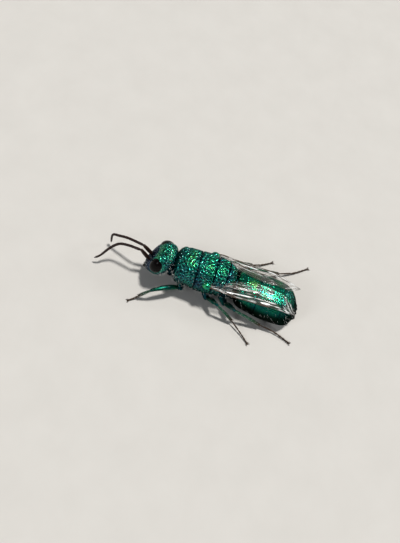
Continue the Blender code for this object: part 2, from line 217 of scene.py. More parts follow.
# -------- node helpers
class Nodes:
    """Short calls to build a material's node tree."""

    def __init__(self, name):
        self.material = bpy.data.materials.new(name)
        self.material.use_nodes = True
        self.tree = self.material.node_tree
        self.shader = self.tree.nodes["Principled BSDF"]
        self.place = self.tree.nodes.new("ShaderNodeTexCoord").outputs["Object"]

    def put(self, socket, value):
        if isinstance(value, bpy.types.NodeSocket):
            self.tree.links.new(value, socket)
        else:
            socket.default_value = value

    def set(self, node=None, **inputs):
        """Sets or links inputs, of the shader where no node is given. An underscore stands for a space."""
        for key, value in inputs.items():
            self.put((node or self.shader).inputs[key.replace("_", " ")], value)

    def new(self, kind, output, **inputs):
        node = self.tree.nodes.new("ShaderNode" + kind)
        self.set(node, **inputs)
        return node.outputs[output]

    def point(self, name):
        node = self.tree.nodes.new("ShaderNodeAttribute")
        node.attribute_name = name
        return node.outputs["Fac"]

    def noise(self, size_mm, detail=3.0):
        return self.new("TexNoise", "Fac", Vector=self.place, Scale=1 / (size_mm * MM), Detail=detail,
                        Roughness=0.55)

    def cells(self, size_mm):
        return self.new("TexVoronoi", "Distance", Vector=self.place, Scale=1 / (size_mm * MM))

    def math(self, operation, a, b):
        node = self.tree.nodes.new("ShaderNodeMath")
        node.operation = operation
        self.put(node.inputs[0], a)
        self.put(node.inputs[1], b)
        return node.outputs[0]

    def span(self, value, low, high, to_low=0.0, to_high=1.0):
        return self.new("MapRange", "Result", Value=value, From_Min=low, From_Max=high, To_Min=to_low,
                        To_Max=to_high)

    def patches(self, size_mm, low=0.0, high=1.0, detail=3.0):
        """Noise in patches of about that size, from low to high."""
        return self.span(self.noise(size_mm, detail), 0.3, 0.7, low, high)

    def ramp(self, value, *stops):
        """A colour from (place, colour) stops."""
        node = self.tree.nodes.new("ShaderNodeValToRGB")
        self.put(node.inputs["Fac"], value)
        marks = node.color_ramp.elements
        while len(marks) < len(stops):
            marks.new(0.5)
        for mark, (at, colour) in zip(marks, stops, strict=True):
            mark.position = at
            mark.color = (*colour, 1.0)
        return node.outputs["Color"]

    def mix(self, share, a, b):
        node = self.tree.nodes.new("ShaderNodeMix")
        node.data_type = "RGBA"
        self.put(node.inputs["Factor"], share)
        colour_sockets = [s for s in node.inputs if s.type == "RGBA"]
        for socket, value in zip(colour_sockets, (a, b), strict=True):
            self.put(socket, (*value, 1.0) if isinstance(value, tuple) else value)
        return [s for s in node.outputs if s.type == "RGBA"][0]

    def bump(self, height, depth_mm, strength):
        self.set(Normal=self.new("Bump", "Normal", Height=height, Distance=depth_mm * MM, Strength=strength))


# Colours of the cuticle from its coolest parts to its warmest, in linear RGB.
VIOLET = (0.014, 0.014, 0.085)
BLUE = (0.005, 0.055, 0.125)
TEAL = (0.009, 0.215, 0.190)
EMERALD = (0.014, 0.400, 0.200)
GOLD_GREEN = (0.200, 0.620, 0.095)


def cuticle(name, rough=0.22, grain=0.02, pit_shade=0.95, coat=0.45):
    """Metallic cuticle. Point values: hue (0 violet, 1 gold green), pit (1 on its floor), and a darkening (1
    dark) that is painted shade, partly the cuticle's own darker tone.
    """
    n = Nodes(name)
    pit = n.point("pit")
    wander = n.patches(0.55, -0.15, 0.15, detail=2.0)
    speckle = n.patches(0.06, -0.12, 0.12, detail=2.0)
    hue = n.math("ADD", n.math("ADD", n.point("hue"), wander), speckle)
    hue = n.math("SUBTRACT", hue, n.math("MULTIPLY", pit, 0.14))
    colour = n.ramp(hue, (0.0, VIOLET), (0.25, BLUE), (0.5, TEAL), (0.75, EMERALD), (1.0, GOLD_GREEN))
    # Pit floors darker: painted shade in the pits, with a darker tone of their own.
    colour = n.mix(n.math("MULTIPLY", n.math("POWER", pit, 0.6), pit_shade), colour, (0.001, 0.012, 0.018))
    # Painted shade, with some of the cuticle's own darker tone: it darkens the colour and takes the coat
    # away.
    dusk = n.point("dusk")
    n.set(Base_Color=n.mix(dusk, colour, (0.001, 0.010, 0.007)), Metallic=0.95)
    n.set(Coat_Weight=n.span(dusk, 0.0, 0.8, coat, 0.02), Coat_Roughness=0.08, Specular_IOR_Level=0.20)
    n.set(Specular_Tint=(0.10, 0.28, 0.24, 1.0))
    wear = n.patches(0.12, rough - 0.05, rough + 0.07)
    n.set(Roughness=n.math("ADD", wear, n.math("MULTIPLY", pit, 0.10)))
    n.bump(n.noise(grain, 2.0), 0.004, 0.6)
    return n.material


def dark_cuticle(name, deep, light, rough, tint=None):
    """Brown horn with faint wear. Where there is a tint, the point value metal turns it into metal."""
    n = Nodes(name)
    colour = n.mix(n.patches(0.18), deep, light)
    if tint:
        colour = n.mix(n.point("metal"), colour, tint)
        n.set(Metallic=n.math("MULTIPLY", n.point("metal"), 0.9))
    n.set(Base_Color=colour, Roughness=n.patches(0.07, rough - 0.06, rough + 0.1), Specular_IOR_Level=0.3)
    n.bump(n.noise(0.03), 0.006, 0.7)
    return n.material


def eye_material():
    n = Nodes("eye_lens")
    band = n.span(n.noise(0.45, 1.0), 0.35, 0.65)
    colour = n.mix(band, (0.002, 0.0015, 0.0015), (0.007, 0.005, 0.004))
    facets = n.cells(0.030)
    n.set(Base_Color=n.mix(n.span(facets, 0.0, 0.6), colour, (0.003, 0.002, 0.002)), Roughness=0.16)
    n.set(Specular_IOR_Level=0.08)
    n.bump(n.math("SUBTRACT", 1.0, facets), 0.001, 0.15)
    return n.material


def wing_material():
    """Clear membrane. Point values: the painted highlight, 1 where a fold's ridge catches light, and smoke,
    1 where it is tinted.
    """
    n = Nodes("wing_membrane")
    crest = n.span(n.point("crest"), 0.08, 0.80)
    smoke = n.mix(n.patches(0.6, detail=2.0), (0.13, 0.11, 0.09), (0.22, 0.19, 0.16))
    # Painted highlight: white and more opaque along the fold ridges.
    n.set(Base_Color=n.mix(crest, smoke, (0.95, 0.97, 0.97)), Roughness=n.span(crest, 0.0, 1.0, 0.12, 0.35))
    clear = n.span(n.point("smoke"), 0.0, 1.0, 0.06, 0.17)
    n.set(Alpha=n.math("MAXIMUM", n.span(crest, 0.0, 1.0, 0.0, 0.95), clear), Specular_IOR_Level=0.8)
    n.set(Coat_Weight=0.5, Coat_Roughness=0.10)
    n.bump(n.noise(0.05, 2.0), 0.003, 0.5)
    return n.material


def hair_material():
    n = Nodes("pale_hair")
    n.set(Base_Color=n.mix(n.noise(0.5), (0.62, 0.62, 0.58), (0.80, 0.80, 0.78)), Roughness=0.45)
    return n.material


GREEN = cuticle("green_metal")
GLOSSY = cuticle("gaster_metal", rough=0.18, grain=0.016, pit_shade=0.45, coat=0.10)
LEG_GREEN = cuticle("leg_metal", rough=0.30, grain=0.016, pit_shade=0.5, coat=0.15)
HORN = dark_cuticle("brown_horn", (0.009, 0.004, 0.003), (0.030, 0.012, 0.008), 0.40)
FOOT = dark_cuticle("brown_foot", (0.016, 0.009, 0.005), (0.060, 0.034, 0.018), 0.50)
SHIN = dark_cuticle("shin", (0.014, 0.009, 0.005), (0.050, 0.032, 0.018), 0.38, tint=(0.006, 0.130, 0.070))
EYE = eye_material()
WING = wing_material()
VEIN = dark_cuticle("wing_vein", (0.030, 0.016, 0.009), (0.085, 0.050, 0.028), 0.38)
HAIR = hair_material()

# -------- plates of thorax and gaster
# (y, half width, lowest z, z of greatest width, top z), front to back
PLATES = {
    "pronotum": (
        (2.04, 1.12, 1.20, 2.05, 2.82),
        (2.36, 1.38, 1.00, 2.05, 3.17),
        (2.94, 1.44, 0.92, 2.00, 3.34),
        (3.84, 1.46, 0.86, 1.95, 3.40),
    ),
    "mesothorax": (
        (3.84, 1.47, 0.80, 1.95, 3.42),
        (4.50, 1.50, 0.76, 1.95, 3.46),
        (5.16, 1.47, 0.80, 1.95, 3.42),
    ),
    "scutellum": (
        (5.16, 1.46, 0.82, 1.95, 3.42),
        (5.70, 1.41, 0.86, 1.95, 3.41),
        (6.14, 1.33, 0.92, 1.95, 3.28),
    ),
    "propodeum": (
        (6.14, 1.32, 0.94, 1.92, 3.26),
        (6.50, 1.27, 0.98, 1.88, 3.06),
        (6.88, 1.08, 1.06, 1.75, 2.62),
    ),
    "tergite_1": (
        (6.94, 0.96, 0.92, 1.45, 2.44),
        (7.16, 1.28, 0.74, 1.40, 2.71),
        (7.64, 1.49, 0.60, 1.34, 2.90),
        (8.66, 1.62, 0.49, 1.30, 2.98),
    ),
    "tergite_2": (
        (8.66, 1.63, 0.48, 1.30, 2.99),
        (9.60, 1.68, 0.43, 1.26, 2.99),
        (10.56, 1.62, 0.42, 1.22, 2.86),
    ),
    "tergite_3": (
        (10.56, 1.61, 0.43, 1.22, 2.84),
        (11.16, 1.50, 0.46, 1.18, 2.48),
        (11.64, 1.20, 0.58, 1.12, 1.98),
        (11.98, 0.72, 0.78, 1.06, 1.44),
    ),
}
GASTER_START = 6.94
GASTER_SWAY = 0.055  # the gaster bends to the left by this much for each mm behind its start
RIMS = {  # front, then rear: how far the rim sweeps back at the flanks, and the radius that rounds it
    "pronotum": ((0.20, 0.18), (0.08, 0.10)),
    "mesothorax": ((0.08, 0.10), (0.06, 0.10)),
    "scutellum": ((0.06, 0.12), (-0.06, 0.14)),
    "propodeum": ((-0.06, 0.10), (-0.06, 0.22)),
    "tergite_1": ((0.12, 0.16), (0.05, 0.04)),
    "tergite_2": ((0.05, 0.10), (0.05, 0.04)),
    "tergite_3": ((0.05, 0.10), (-0.16, 0.14)),
}
FULLNESS = 0.84  # power of a cross-section's sine and cosine, boxier than an ellipse
PLATE_GAP = 0.004  # a plate's rims stay this far inside its rows


def rim_inset(distance, radius):
    inside = np.clip(radius - distance, 0.0, radius)
    return radius - np.sqrt(radius**2 - inside**2)


def plate_grid(name):
    """A plate's surface and normals, and for each point x without sway, y, z and its share of the length."""
    rows = PLATES[name]
    (front_sweep, front_round), (rear_sweep, rear_round) = RIMS[name]
    total = rows[-1][0] - rows[0][0]
    widest = max(row[1] for row in rows)
    count, sides = int(total / FINE) + 16, int(2 * math.pi * 0.9 * widest / FINE)
    t = np.linspace(0, 1, count)
    share = 0.55 * t + 0.45 * (0.5 - 0.5 * np.cos(math.pi * t))
    y, half, low, middle, high = spline(rows, share).T
    y = y + PLATE_GAP * (1 - 2 * share)
    inset = rim_inset(share * total, front_round) + rim_inset((1 - share) * total, rear_round)
    angle = np.linspace(0, 2 * math.pi, sides, endpoint=False)
    cos, sin = signed_power(np.cos(angle), FULLNESS), signed_power(np.sin(angle), FULLNESS)
    x = (half - inset)[:, None] * cos
    top, bottom = (high - inset - middle)[:, None], (middle - low - inset)[:, None]
    z = middle[:, None] + np.where(sin > 0, top, bottom) * sin
    sweep = (front_sweep * (1 - share) + rear_sweep * share)[:, None]
    ys = y[:, None] + sweep * (x / half[:, None]) ** 2
    sway = (GASTER_SWAY * np.maximum(0.0, y - GASTER_START))[:, None]
    grid = np.stack((x + sway, ys, z), -1)
    centre = np.stack((sway[:, 0], y, middle), -1)[:, None]
    return grid, grid_normals(grid, centre), x, ys, z, share[:, None] + 0 * x


# Each relief gives how far a plate rises there. Its x is the distance from the middle.
def relief_pronotum(x, y, z, share):
    """A dent in the middle, a groove on each shoulder and a hollow in each flank."""
    on_top = smooth(2.2, 2.8, z)
    rise = -0.07 * bell(x, 0.14) * bell(y - 2.45, 0.30) * on_top
    rise -= 0.05 * bell(y - 2.62 - 0.10 * x**2, 0.10) * smooth(0.5, 0.9, x) * on_top
    return rise - 0.10 * bell(z - 1.75, 0.30) * bell(y - 3.25, 0.35) * smooth(0.9, 1.3, x)


def relief_mesothorax(x, y, z, share):
    """Two grooves on each side of the middle, and a slanting one on each flank."""
    on_top = smooth(2.3, 2.9, z)
    line = 0.66 - 0.20 * share
    rise = -0.055 * bell(x - line, 0.050) * on_top
    rise -= 0.030 * bell(x - 1.02, 0.040) * on_top
    flank = smooth(0.9, 1.3, x) * (1 - smooth(2.3, 2.6, z))
    return rise - 0.07 * bell(z - 1.35 - 0.35 * (y - 4.5), 0.07) * flank


def relief_scutellum(x, y, z, share):
    """The shield's side grooves, and one down each flank."""
    on_top = smooth(2.3, 2.9, z)
    line = 0.72 + 0.55 * np.clip(0.45 - share, 0, 1)
    rise = -0.05 * bell(x - line, 0.055) * on_top * (1 - smooth(0.7, 0.95, share))
    flank = smooth(0.9, 1.2, x) * (1 - smooth(2.2, 2.5, z))
    return rise - 0.08 * bell(y - 5.55, 0.10) * flank


def relief_propodeum(x, y, z, share):
    """A boss in the middle with a groove on each side, and a tooth on each flank."""
    boss = 0.09 * bell(x, 0.42) * bell(y - 6.34, 0.16) * smooth(2.4, 2.9, z)
    horn = 0.20 * bell(y - 6.70, 0.10) * bell(z - 1.95, 0.16) * smooth(0.6, 0.9, x)
    return boss + horn - 0.06 * bell(x - 0.62, 0.07) * smooth(2.2, 2.8, z)


def relief_tergite_1(x, y, z, share):
    """The dip over the waist, and a line before the rim."""
    rise = -0.12 * bell(x, 0.15) * bell(y - 7.15, 0.28) * smooth(1.9, 2.4, z)
    return rise - 0.03 * bell(share - 0.90, 0.025)


def relief_tergite_2(x, y, z, share):
    """A low keel, and a line before the rim."""
    return 0.02 * bell(x, 0.10) * smooth(2.3, 2.9, z) - 0.03 * bell(share - 0.93, 0.02)


def relief_tergite_3(x, y, z, share):
    """A groove before the rim, with a row of deep pits in it."""
    upper = smooth(1.1, 1.4, z)
    rise = -0.045 * bell(share - 0.84, 0.030) * upper
    row = np.sin(9.0 * np.arctan2(x, 1.2)) ** 2
    return rise - 0.05 * bell(share - 0.84, 0.020) * row * upper


RELIEF = dict(zip(PLATES, (relief_pronotum, relief_mesothorax, relief_scutellum, relief_propodeum,
                           relief_tergite_1, relief_tergite_2, relief_tergite_3), strict=True))
# Of pits: spacing, depth, and crowding, 1 for a honeycomb and 0 for pits that lie apart. Then the hue on the
# upper middle, and how far it falls towards the flank.
SKIN = {
    "pronotum": (0.205, 0.100, 1.0, 0.58, 0.12),
    "mesothorax": (0.205, 0.100, 1.0, 0.60, 0.15),
    "scutellum": (0.215, 0.100, 1.0, 0.63, 0.18),
    "propodeum": (0.215, 0.100, 1.0, 0.58, 0.22),
    "tergite_1": (0.130, 0.024, 0.15, 0.68, 0.12),
    "tergite_2": (0.115, 0.022, 0.25, 0.64, 0.10),
    "tergite_3": (0.145, 0.062, 0.75, 0.62, 0.12),
}
PAINTED_GLINT = {  # a painted highlight, a warmer disc where the light glints: (y, reach along, reach across, strength)
    "pronotum": (3.28, 0.32, 0.95, 0.28),
    "mesothorax": (4.68, 0.34, 0.85, 0.26),
    "scutellum": (5.60, 0.35, 0.60, 0.10),
    "tergite_1": (8.25, 0.45, 0.90, 0.20),
    "tergite_2": (9.60, 0.60, 0.90, 0.04),
}
APEX_TEETH = ((0.20, 0.085), (0.56, 0.095))  # (distance from the middle, half width)
FLANK_SHADE_SPAN = {True: (1.75, 2.85), False: (1.50, 2.50)}  # heights over which a flank darkens with painted shade and a darker tone of its underside, gaster or not


def apex_teeth(grid, x, share, z):
    """Draws the last rim of the gaster out into four small teeth."""
    reach = sum(bell(np.abs(x) - at, width) for at, width in APEX_TEETH)
    grid[..., 1] += 0.15 * reach * smooth(0.90, 1.0, share) * bell(z - 1.10, 0.30)
    grid[..., 2] -= 0.05 * reach * smooth(0.92, 1.0, share) * smooth(1.0, 1.3, z)


def build_plate(name):
    rows, gaster = PLATES[name], name.startswith("tergite")
    grid, normal, x, y, z, share = plate_grid(name)
    grid = grid + normal * RELIEF[name](np.abs(x), y, z, share)[..., None]
    widest = rows[1][3]
    under = 1 - smooth(widest - 0.55, widest - 0.1, z)
    if gaster:
        grid[..., 2] += 0.22 * under * bell(x, 0.95) * bell(share - 0.5, 0.6)  # the hollow belly
    if name == "tergite_3":
        apex_teeth(grid, x, share, z)
    normal = grid_normals(grid, grid.mean(axis=1, keepdims=True))
    suture = np.minimum(share, 1 - share) * (rows[-1][0] - rows[0][0])
    smooth_rim = smooth(0.03, 0.12, suture)
    spacing, depth, crowding, top_hue, fall = SKIN[name]
    spacing = spacing * (1 + 0.22 * np.sin(3.1 * x + 1.0) * np.sin(4.3 * y))
    pits = pit_field(grid, spacing, crowding) * smooth_rim * (1 - 0.6 * under)
    grid = pressed(grid, normal, depth, pits)
    side = smooth(0.45, 1.0, np.abs(x) / rows[1][1])
    hue = top_hue - fall * side - 0.18 * (1 - smooth_rim) - 0.12 * under
    # A painted highlight: the hue warms where the light glints on the upper middle.
    if name in PAINTED_GLINT:
        at, along, across, strength = PAINTED_GLINT[name]
        hue = hue + strength * bell(y - at, along) * bell(x, across) * smooth(2.2, 2.8, z)
    # Painted shade on the lower flank, with a darker tone of the underside.
    dusk = (1.0 if gaster else 0.85) * (1 - smooth(*FLANK_SHADE_SPAN[gaster], z))
    if not gaster:
        hue = hue - 0.10 * (1 - smooth(0.05, 0.55, share))
        # Dark sutures, with painted shade in the furrow between plates.
        dusk = np.maximum(dusk, 0.75 * (1 - smooth(0.04, 0.15, suture)))
    if name == "pronotum":
        dusk = np.maximum(dusk, 0.75 * (1 - smooth(2.22, 2.50, y)))  # painted shade on the steep front that faces the head
    material = GLOSSY if name in ("tergite_1", "tergite_2") else GREEN
    slot = "blue_cuticle" if name == "propodeum" else "green_cuticle"
    Parts().add_closed(grid, hue=hue, pit=pits, dusk=dusk).build("shell_" + name, material, slot, name)
    return grid, normal


# -------- head
HEAD_CENTRE = Vector((0.09, 1.02, 2.04))
HEAD_HALF = (1.35, 0.77, 1.45)  # from here to OCELLUS_HALF in the head's own axes
HEAD_TURN = Matrix.Rotation(math.radians(-8), 4, "Z") @ Matrix.Rotation(math.radians(-26), 4, "X")
HEAD_PLACE = Matrix.Translation(HEAD_CENTRE) @ HEAD_TURN
EYE_HALF = (0.47, 0.54, 0.76)
EYE_AT = (0.89, -0.14, 0.49)
EYE_LEAN = math.radians(16)  # an eye's upper end leans in over the crown
SOCKET_AT = (0.26, -0.50, -0.66)  # where the scape starts
MANDIBLE = ((0.42, -0.30, -1.22), (0.44, -0.42, -1.46), (0.18, -0.44, -1.58))
OCELLI = ((0.0, -0.54), (0.36, -0.30), (-0.36, -0.30))  # on the crown
OCELLUS_HALF = (0.090, 0.090, 0.042)


def placed(points):
    """From the head's own axes to the body's."""
    turn = np.array(HEAD_PLACE.to_3x3())
    return np.asarray(points) @ turn.T + np.array(HEAD_PLACE.translation)


def mirrored(points, side):
    """Points of the left side, or their mirror images where side is -1."""
    return np.array(points) * (side, 1, 1)


def build_head():
    half_x, half_y, half_z = HEAD_HALF
    rows, cols = int(1.3 * math.pi * half_z / FINE), int(2 * math.pi * 0.95 * half_x / FINE)
    polar = math.pi * smooth(0, 1, np.linspace(0.01, 0.99, rows))[:, None]  # rings crowd at the flat poles
    angle = np.linspace(0, 2 * math.pi, cols, endpoint=False)
    height = -half_z * np.cos(polar) + 0 * angle
    girth = np.sin(polar) ** 0.5
    jaw = 0.74 + 0.26 * np.minimum(1.0, 0.8 + height / half_z)
    x = half_x * jaw * girth * signed_power(np.cos(angle), 0.66)
    y = half_y * girth * signed_power(np.sin(angle), 0.72)
    front = smooth(0.0, -0.3, y)
    y = y + 0.16 * bell(x, 0.55) * bell(height - 0.05, 0.62) * front
    local = np.stack((x, y, height), -1)
    normal = grid_normals(local, np.zeros(3))
    rise = -0.10 * bell(x, 0.45) * bell(height + 0.02, 0.55) * front  # the basin behind the scapes
    over_carina = height - 0.34 - 0.06 * np.cos(4.2 * x)
    rise += 0.08 * bell(over_carina, 0.050) * bell(x, 0.78) * front  # the carina, a ridge over the basin
    rise += 0.07 * bell(x, 0.46) * bell(height + 1.02, 0.18) * front  # clypeus
    rise -= 0.05 * bell(height + 1.20, 0.040) * bell(x, 0.50) * front  # groove above the lip
    rise -= 0.06 * bell(height + 0.70, 0.05) * smooth(0.55, 0.8, np.abs(x)) * front  # groove of the cheek
    from_ocelli = [np.hypot(x - at_x, y - at_y) for at_x, at_y in OCELLI]
    on_crown = smooth(0.6, 1.0, height)
    for away in from_ocelli:  # a low mound under each ocellus
        rise += 0.020 * bell(away, 0.15) * on_crown
    local = local + normal * rise[..., None]
    normal = grid_normals(local, np.zeros(3))
    basin = bell(x, 0.50) * bell(height, 0.55) * front
    pits = pit_field(local, 0.168 - 0.065 * basin, 1.0)
    pits *= 1 - 0.6 * smooth(0.75, 1.1, -height / half_z)
    pits *= 1 - 0.9 * bell(over_carina, 0.045) * bell(x, 0.78) * front
    pits *= 1 - np.clip(sum(bell(away, 0.12) for away in from_ocelli), 0, 1) * on_crown
    mounts = [local.reshape(-1, 3)[(away + 10 * (height < 0)).argmin()] for away in from_ocelli]
    socket = sum(smooth(1.22, 1.04, eye_reach(local, side)) for _, side in SIDES)
    pits *= 1 - socket
    local = local - normal * (0.035 * smooth(0.3, 1.0, socket))[..., None]
    local = pressed(local, normal, 0.062 - 0.036 * basin, pits)
    crown = smooth(0.16, 0.45, height / half_z)
    # A painted highlight: the crown turns warmer green around the ocelli, where the light glints.
    painted_crown_glint = bell(np.hypot(x - 0.20, y + 0.45), 0.62) * crown
    hue = 0.44 + 0.16 * crown + 0.13 * painted_crown_glint - 0.24 * front * (1 - crown) - 0.10 * basin
    hue = hue - 0.20 * smooth(0.15, 0.60, y)
    # Darkened: painted shade on the lower back of the head, which faces the pronotum, and on its underside.
    dusk = 0.75 * smooth(0.40, 0.70, y) * (1 - smooth(0.80, 1.25, height)) + 0.45 * smooth(0.2, 1.2, -height)
    grid = placed(local)
    shell = Parts().add_closed(grid, hue=hue, pit=pits, dusk=np.clip(dusk, 0, 0.8))
    shell.build("shell_head", GREEN, "green_cuticle", "head")
    return grid, placed(local + normal) - grid, mounts


def eye_lean(side):
    return np.array(Matrix.Rotation(-side * EYE_LEAN, 3, "Y"))


def eye_reach(local, side):
    """Distance of points from an eye's centre, 1 on its surface."""
    return np.linalg.norm((local - mirrored(EYE_AT, side)) @ eye_lean(side) / EYE_HALF, axis=-1)


def dome(centre, half, rows, cols):
    """A closed ellipsoid grid."""
    polar = np.linspace(0.03, math.pi - 0.03, rows)[:, None]
    angle = np.linspace(0, 2 * math.pi, cols, endpoint=False)
    ball = np.sin(polar) * np.cos(angle), np.sin(polar) * np.sin(angle), -np.cos(polar) + 0 * angle
    return np.stack(ball, -1) * half + centre


def build_eyes(mounts):
    for word, side in SIDES:
        lens = dome((0, 0, 0), EYE_HALF, rows=90, cols=140) @ eye_lean(side).T + mirrored(EYE_AT, side)
        Parts().add_closed(placed(lens)).build("lens_" + word, EYE, "eye", "eye_" + word)
    ocelli = Parts()
    for mount in mounts:
        ocelli.add_closed(placed(dome(mount, OCELLUS_HALF, rows=24, cols=32)))
    ocelli.build("ocelli", EYE, "eye")


# -------- tubes: antennae, legs, veins
def tube_grid(route, radii, cols, flat=1.0):
    """Rings around a route. flat below 1 squeezes each ring along the direction nearest to up."""
    ahead = unit(np.gradient(route, axis=0))
    across = np.cross(ahead, (0.0, 0.0, 1.0))
    across[np.linalg.norm(across, axis=1) < 1e-6] = (1, 0, 0)
    across = unit(across)
    for k in range(1, len(across)):
        if across[k] @ across[k - 1] < 0:
            across[k] = -across[k]
    lift = np.cross(across, ahead)
    angle = np.linspace(0, 2 * math.pi, cols, endpoint=False)
    rings = across[:, None] * np.cos(angle)[:, None] + flat * lift[:, None] * np.sin(angle)[:, None]
    return route[:, None] + rings * radii[:, None, None]


def domed(route, radii, steps=6):
    """The same route with a rounded cap at each end."""
    turn = np.linspace(0.12, math.pi / 2, steps)[:-1]
    head = unit(route[0] - route[1])
    tail = unit(route[-1] - route[-2])
    front = route[0] + head * (radii[0] * np.cos(turn))[:, None]
    back = route[-1] + tail * (radii[-1] * np.cos(turn[::-1]))[:, None]
    radii = np.concatenate((radii[0] * np.sin(turn), radii, radii[-1] * np.sin(turn[::-1])))
    return np.concatenate((front, route, back)), radii


def cut(path, begin, end, count):
    """Evenly spaced points of a path between two shares of its length."""
    steps = np.linalg.norm(np.diff(path, axis=0), axis=1)
    shares = np.concatenate(((0,), np.cumsum(steps))) / steps.sum()
    t = np.linspace(begin, end, count)
    return np.stack([np.interp(t, shares, values) for values in path.T], -1)


def segment(points, widths, steps, cols, arch=0.0, flat=1.0):
    """A domed limb segment through points, with half widths from root to tip, and raised by arch midway."""
    t = np.linspace(0, 1, steps)
    route = spline(points, t)
    route[:, 2] += arch * np.sin(math.pi * t)
    radii = spline([(w,) for w in widths], t)[:, 0]
    return tube_grid(*domed(route, radii), cols=cols, flat=flat)


LEGS = {
    "front_left": (
        (0.50, 2.95, 1.15), (1.26, 3.06, 0.92), (2.48, 1.12, 1.32), (2.76, 0.34, 0.46),
        (2.98, 0.02, 0.22), (3.20, -0.29, 0.10),
    ),
    "middle_left": (
        (0.50, 4.75, 1.05), (1.26, 5.15, 0.74), (2.04, 6.05, 1.52), (2.32, 7.46, 0.48),
        (3.00, 8.42, 0.22), (3.53, 9.06, 0.10),
    ),
    "hind_left": (
        (0.50, 6.00, 1.10), (1.26, 6.55, 0.78), (2.06, 7.38, 1.60), (1.99, 9.58, 0.54),
        (2.04, 10.90, 0.24), (2.43, 12.12, 0.10),
    ),
    "front_right": (
        (-0.50, 2.95, 1.15), (-1.16, 2.96, 0.82), (-1.36, 1.02, 0.92), (-1.92, 2.16, 0.42),
        (-2.00, 2.70, 0.20), (-2.06, 3.24, 0.10),
    ),
    "middle_right": (
        (-0.50, 4.75, 1.05), (-1.26, 5.10, 0.74), (-2.00, 6.25, 1.45), (-2.95, 7.90, 0.48),
        (-3.40, 8.66, 0.22), (-3.99, 9.50, 0.10),
    ),
    "hind_right": (
        (-0.50, 6.00, 1.10), (-1.26, 6.55, 0.78), (-1.96, 7.90, 1.50), (-2.95, 10.15, 0.48),
        (-3.62, 11.36, 0.22), (-4.50, 12.45, 0.10),
    ),
}
COXA = {"widths": (0.30, 0.33, 0.24), "steps": 40, "cols": 56,
        "spacing": 0.10, "crowding": 0.8, "depth": 0.018}
FEMUR = {"widths": (0.12, 0.190, 0.205, 0.170, 0.120), "steps": 90, "cols": 60, "flat": 0.86,
         "spacing": 0.085, "crowding": 0.2, "depth": 0.010}
TIBIA = {"widths": (0.090, 0.100, 0.115, 0.130, 0.120), "steps": 80, "cols": 44, "flat": 0.9, "arch": 0.05,
         "spacing": 0.075, "crowding": 0.2, "depth": 0.008}
FEMUR_ARCH = {"front_left": 0.22}
PLAIN_ARCH = 0.10
TARSOMERES = (0.0, 0.40, 0.60, 0.74, 0.85, 1.0)  # ends of the foot's five segments, as shares of its length
FOOT_HALF = 0.062
FOOT_RINGS = 16
CLAW = ((0.03, 0.0, 0.0), (0.10, 0.10, 0.03), (0.12, 0.19, -0.01), (0.11, 0.24, -0.055))  # out, ahead and up
SPUR = ((0.10, -0.04), (0.14, 0.10), (0.10, 0.22))  # out, and on from the shin's end


def pitted_segment(start, end, spacing, crowding, depth, **form):
    """A limb segment: its smooth grid and normals, its pits, and the grid with those pits pressed in."""
    grid = segment((start, (start + end) / 2, end), **form)
    normal = grid_normals(grid, grid.mean(1, keepdims=True))
    pits = pit_field(grid, spacing, crowding)
    return (grid, normal), pits, pressed(grid, normal, depth, pits)


def along_share(grid):
    """0 on the first ring of a grid to 1 on its last."""
    return np.broadcast_to(np.linspace(0, 1, grid.shape[0])[:, None], grid.shape[:2])


def build_coxa(name, root, hip, knee):
    skin, pits, grid = pitted_segment(root, hip, **COXA)
    # Darkened as painted shade under the body, the trochanter too.
    coxa = Parts().add_closed(grid, hue=0.40, pit=pits, dusk=0.65)
    trochanter = segment((hip, hip + 0.10 * unit(knee - hip)), (0.15, 0.17), steps=8, cols=28)
    coxa.add_closed(trochanter, hue=0.30, pit=0.2, dusk=0.7)
    coxa.build("coxa_shell_" + name, LEG_GREEN, "blue_cuticle", "coxa_" + name)
    return skin


def build_femur(name, hip, knee):
    arch = FEMUR_ARCH.get(name, PLAIN_ARCH)
    skin, pits, grid = pitted_segment(hip + 0.06 * (knee - hip), knee, arch=arch, **FEMUR)
    along = along_share(grid)
    # Darkened: painted shade, strongest at the hip under the body, with a darker tone of its own.
    femur = Parts().add_closed(grid, hue=0.62 - 0.18 * smooth(0.8, 1.0, along), pit=pits,
                               dusk=0.70 + 0.25 * (1 - smooth(0.0, 0.25, along)))
    femur.build("femur_shell_" + name, LEG_GREEN, "green_cuticle", "femur_" + name)
    return skin


def build_tibia(name, knee, ankle):
    skin, pits, grid = pitted_segment(knee, ankle, **TIBIA)
    green = 0.45 if name.startswith("front") else 0.85
    metal = green * (1 - smooth(0.45, 0.95, along_share(grid))) * (1 - 0.5 * pits)
    tibia = Parts().add_closed(grid, metal=metal)
    tibia.build("tibia_shell_" + name, SHIN, "green_cuticle", "tibia_" + name)
    return skin


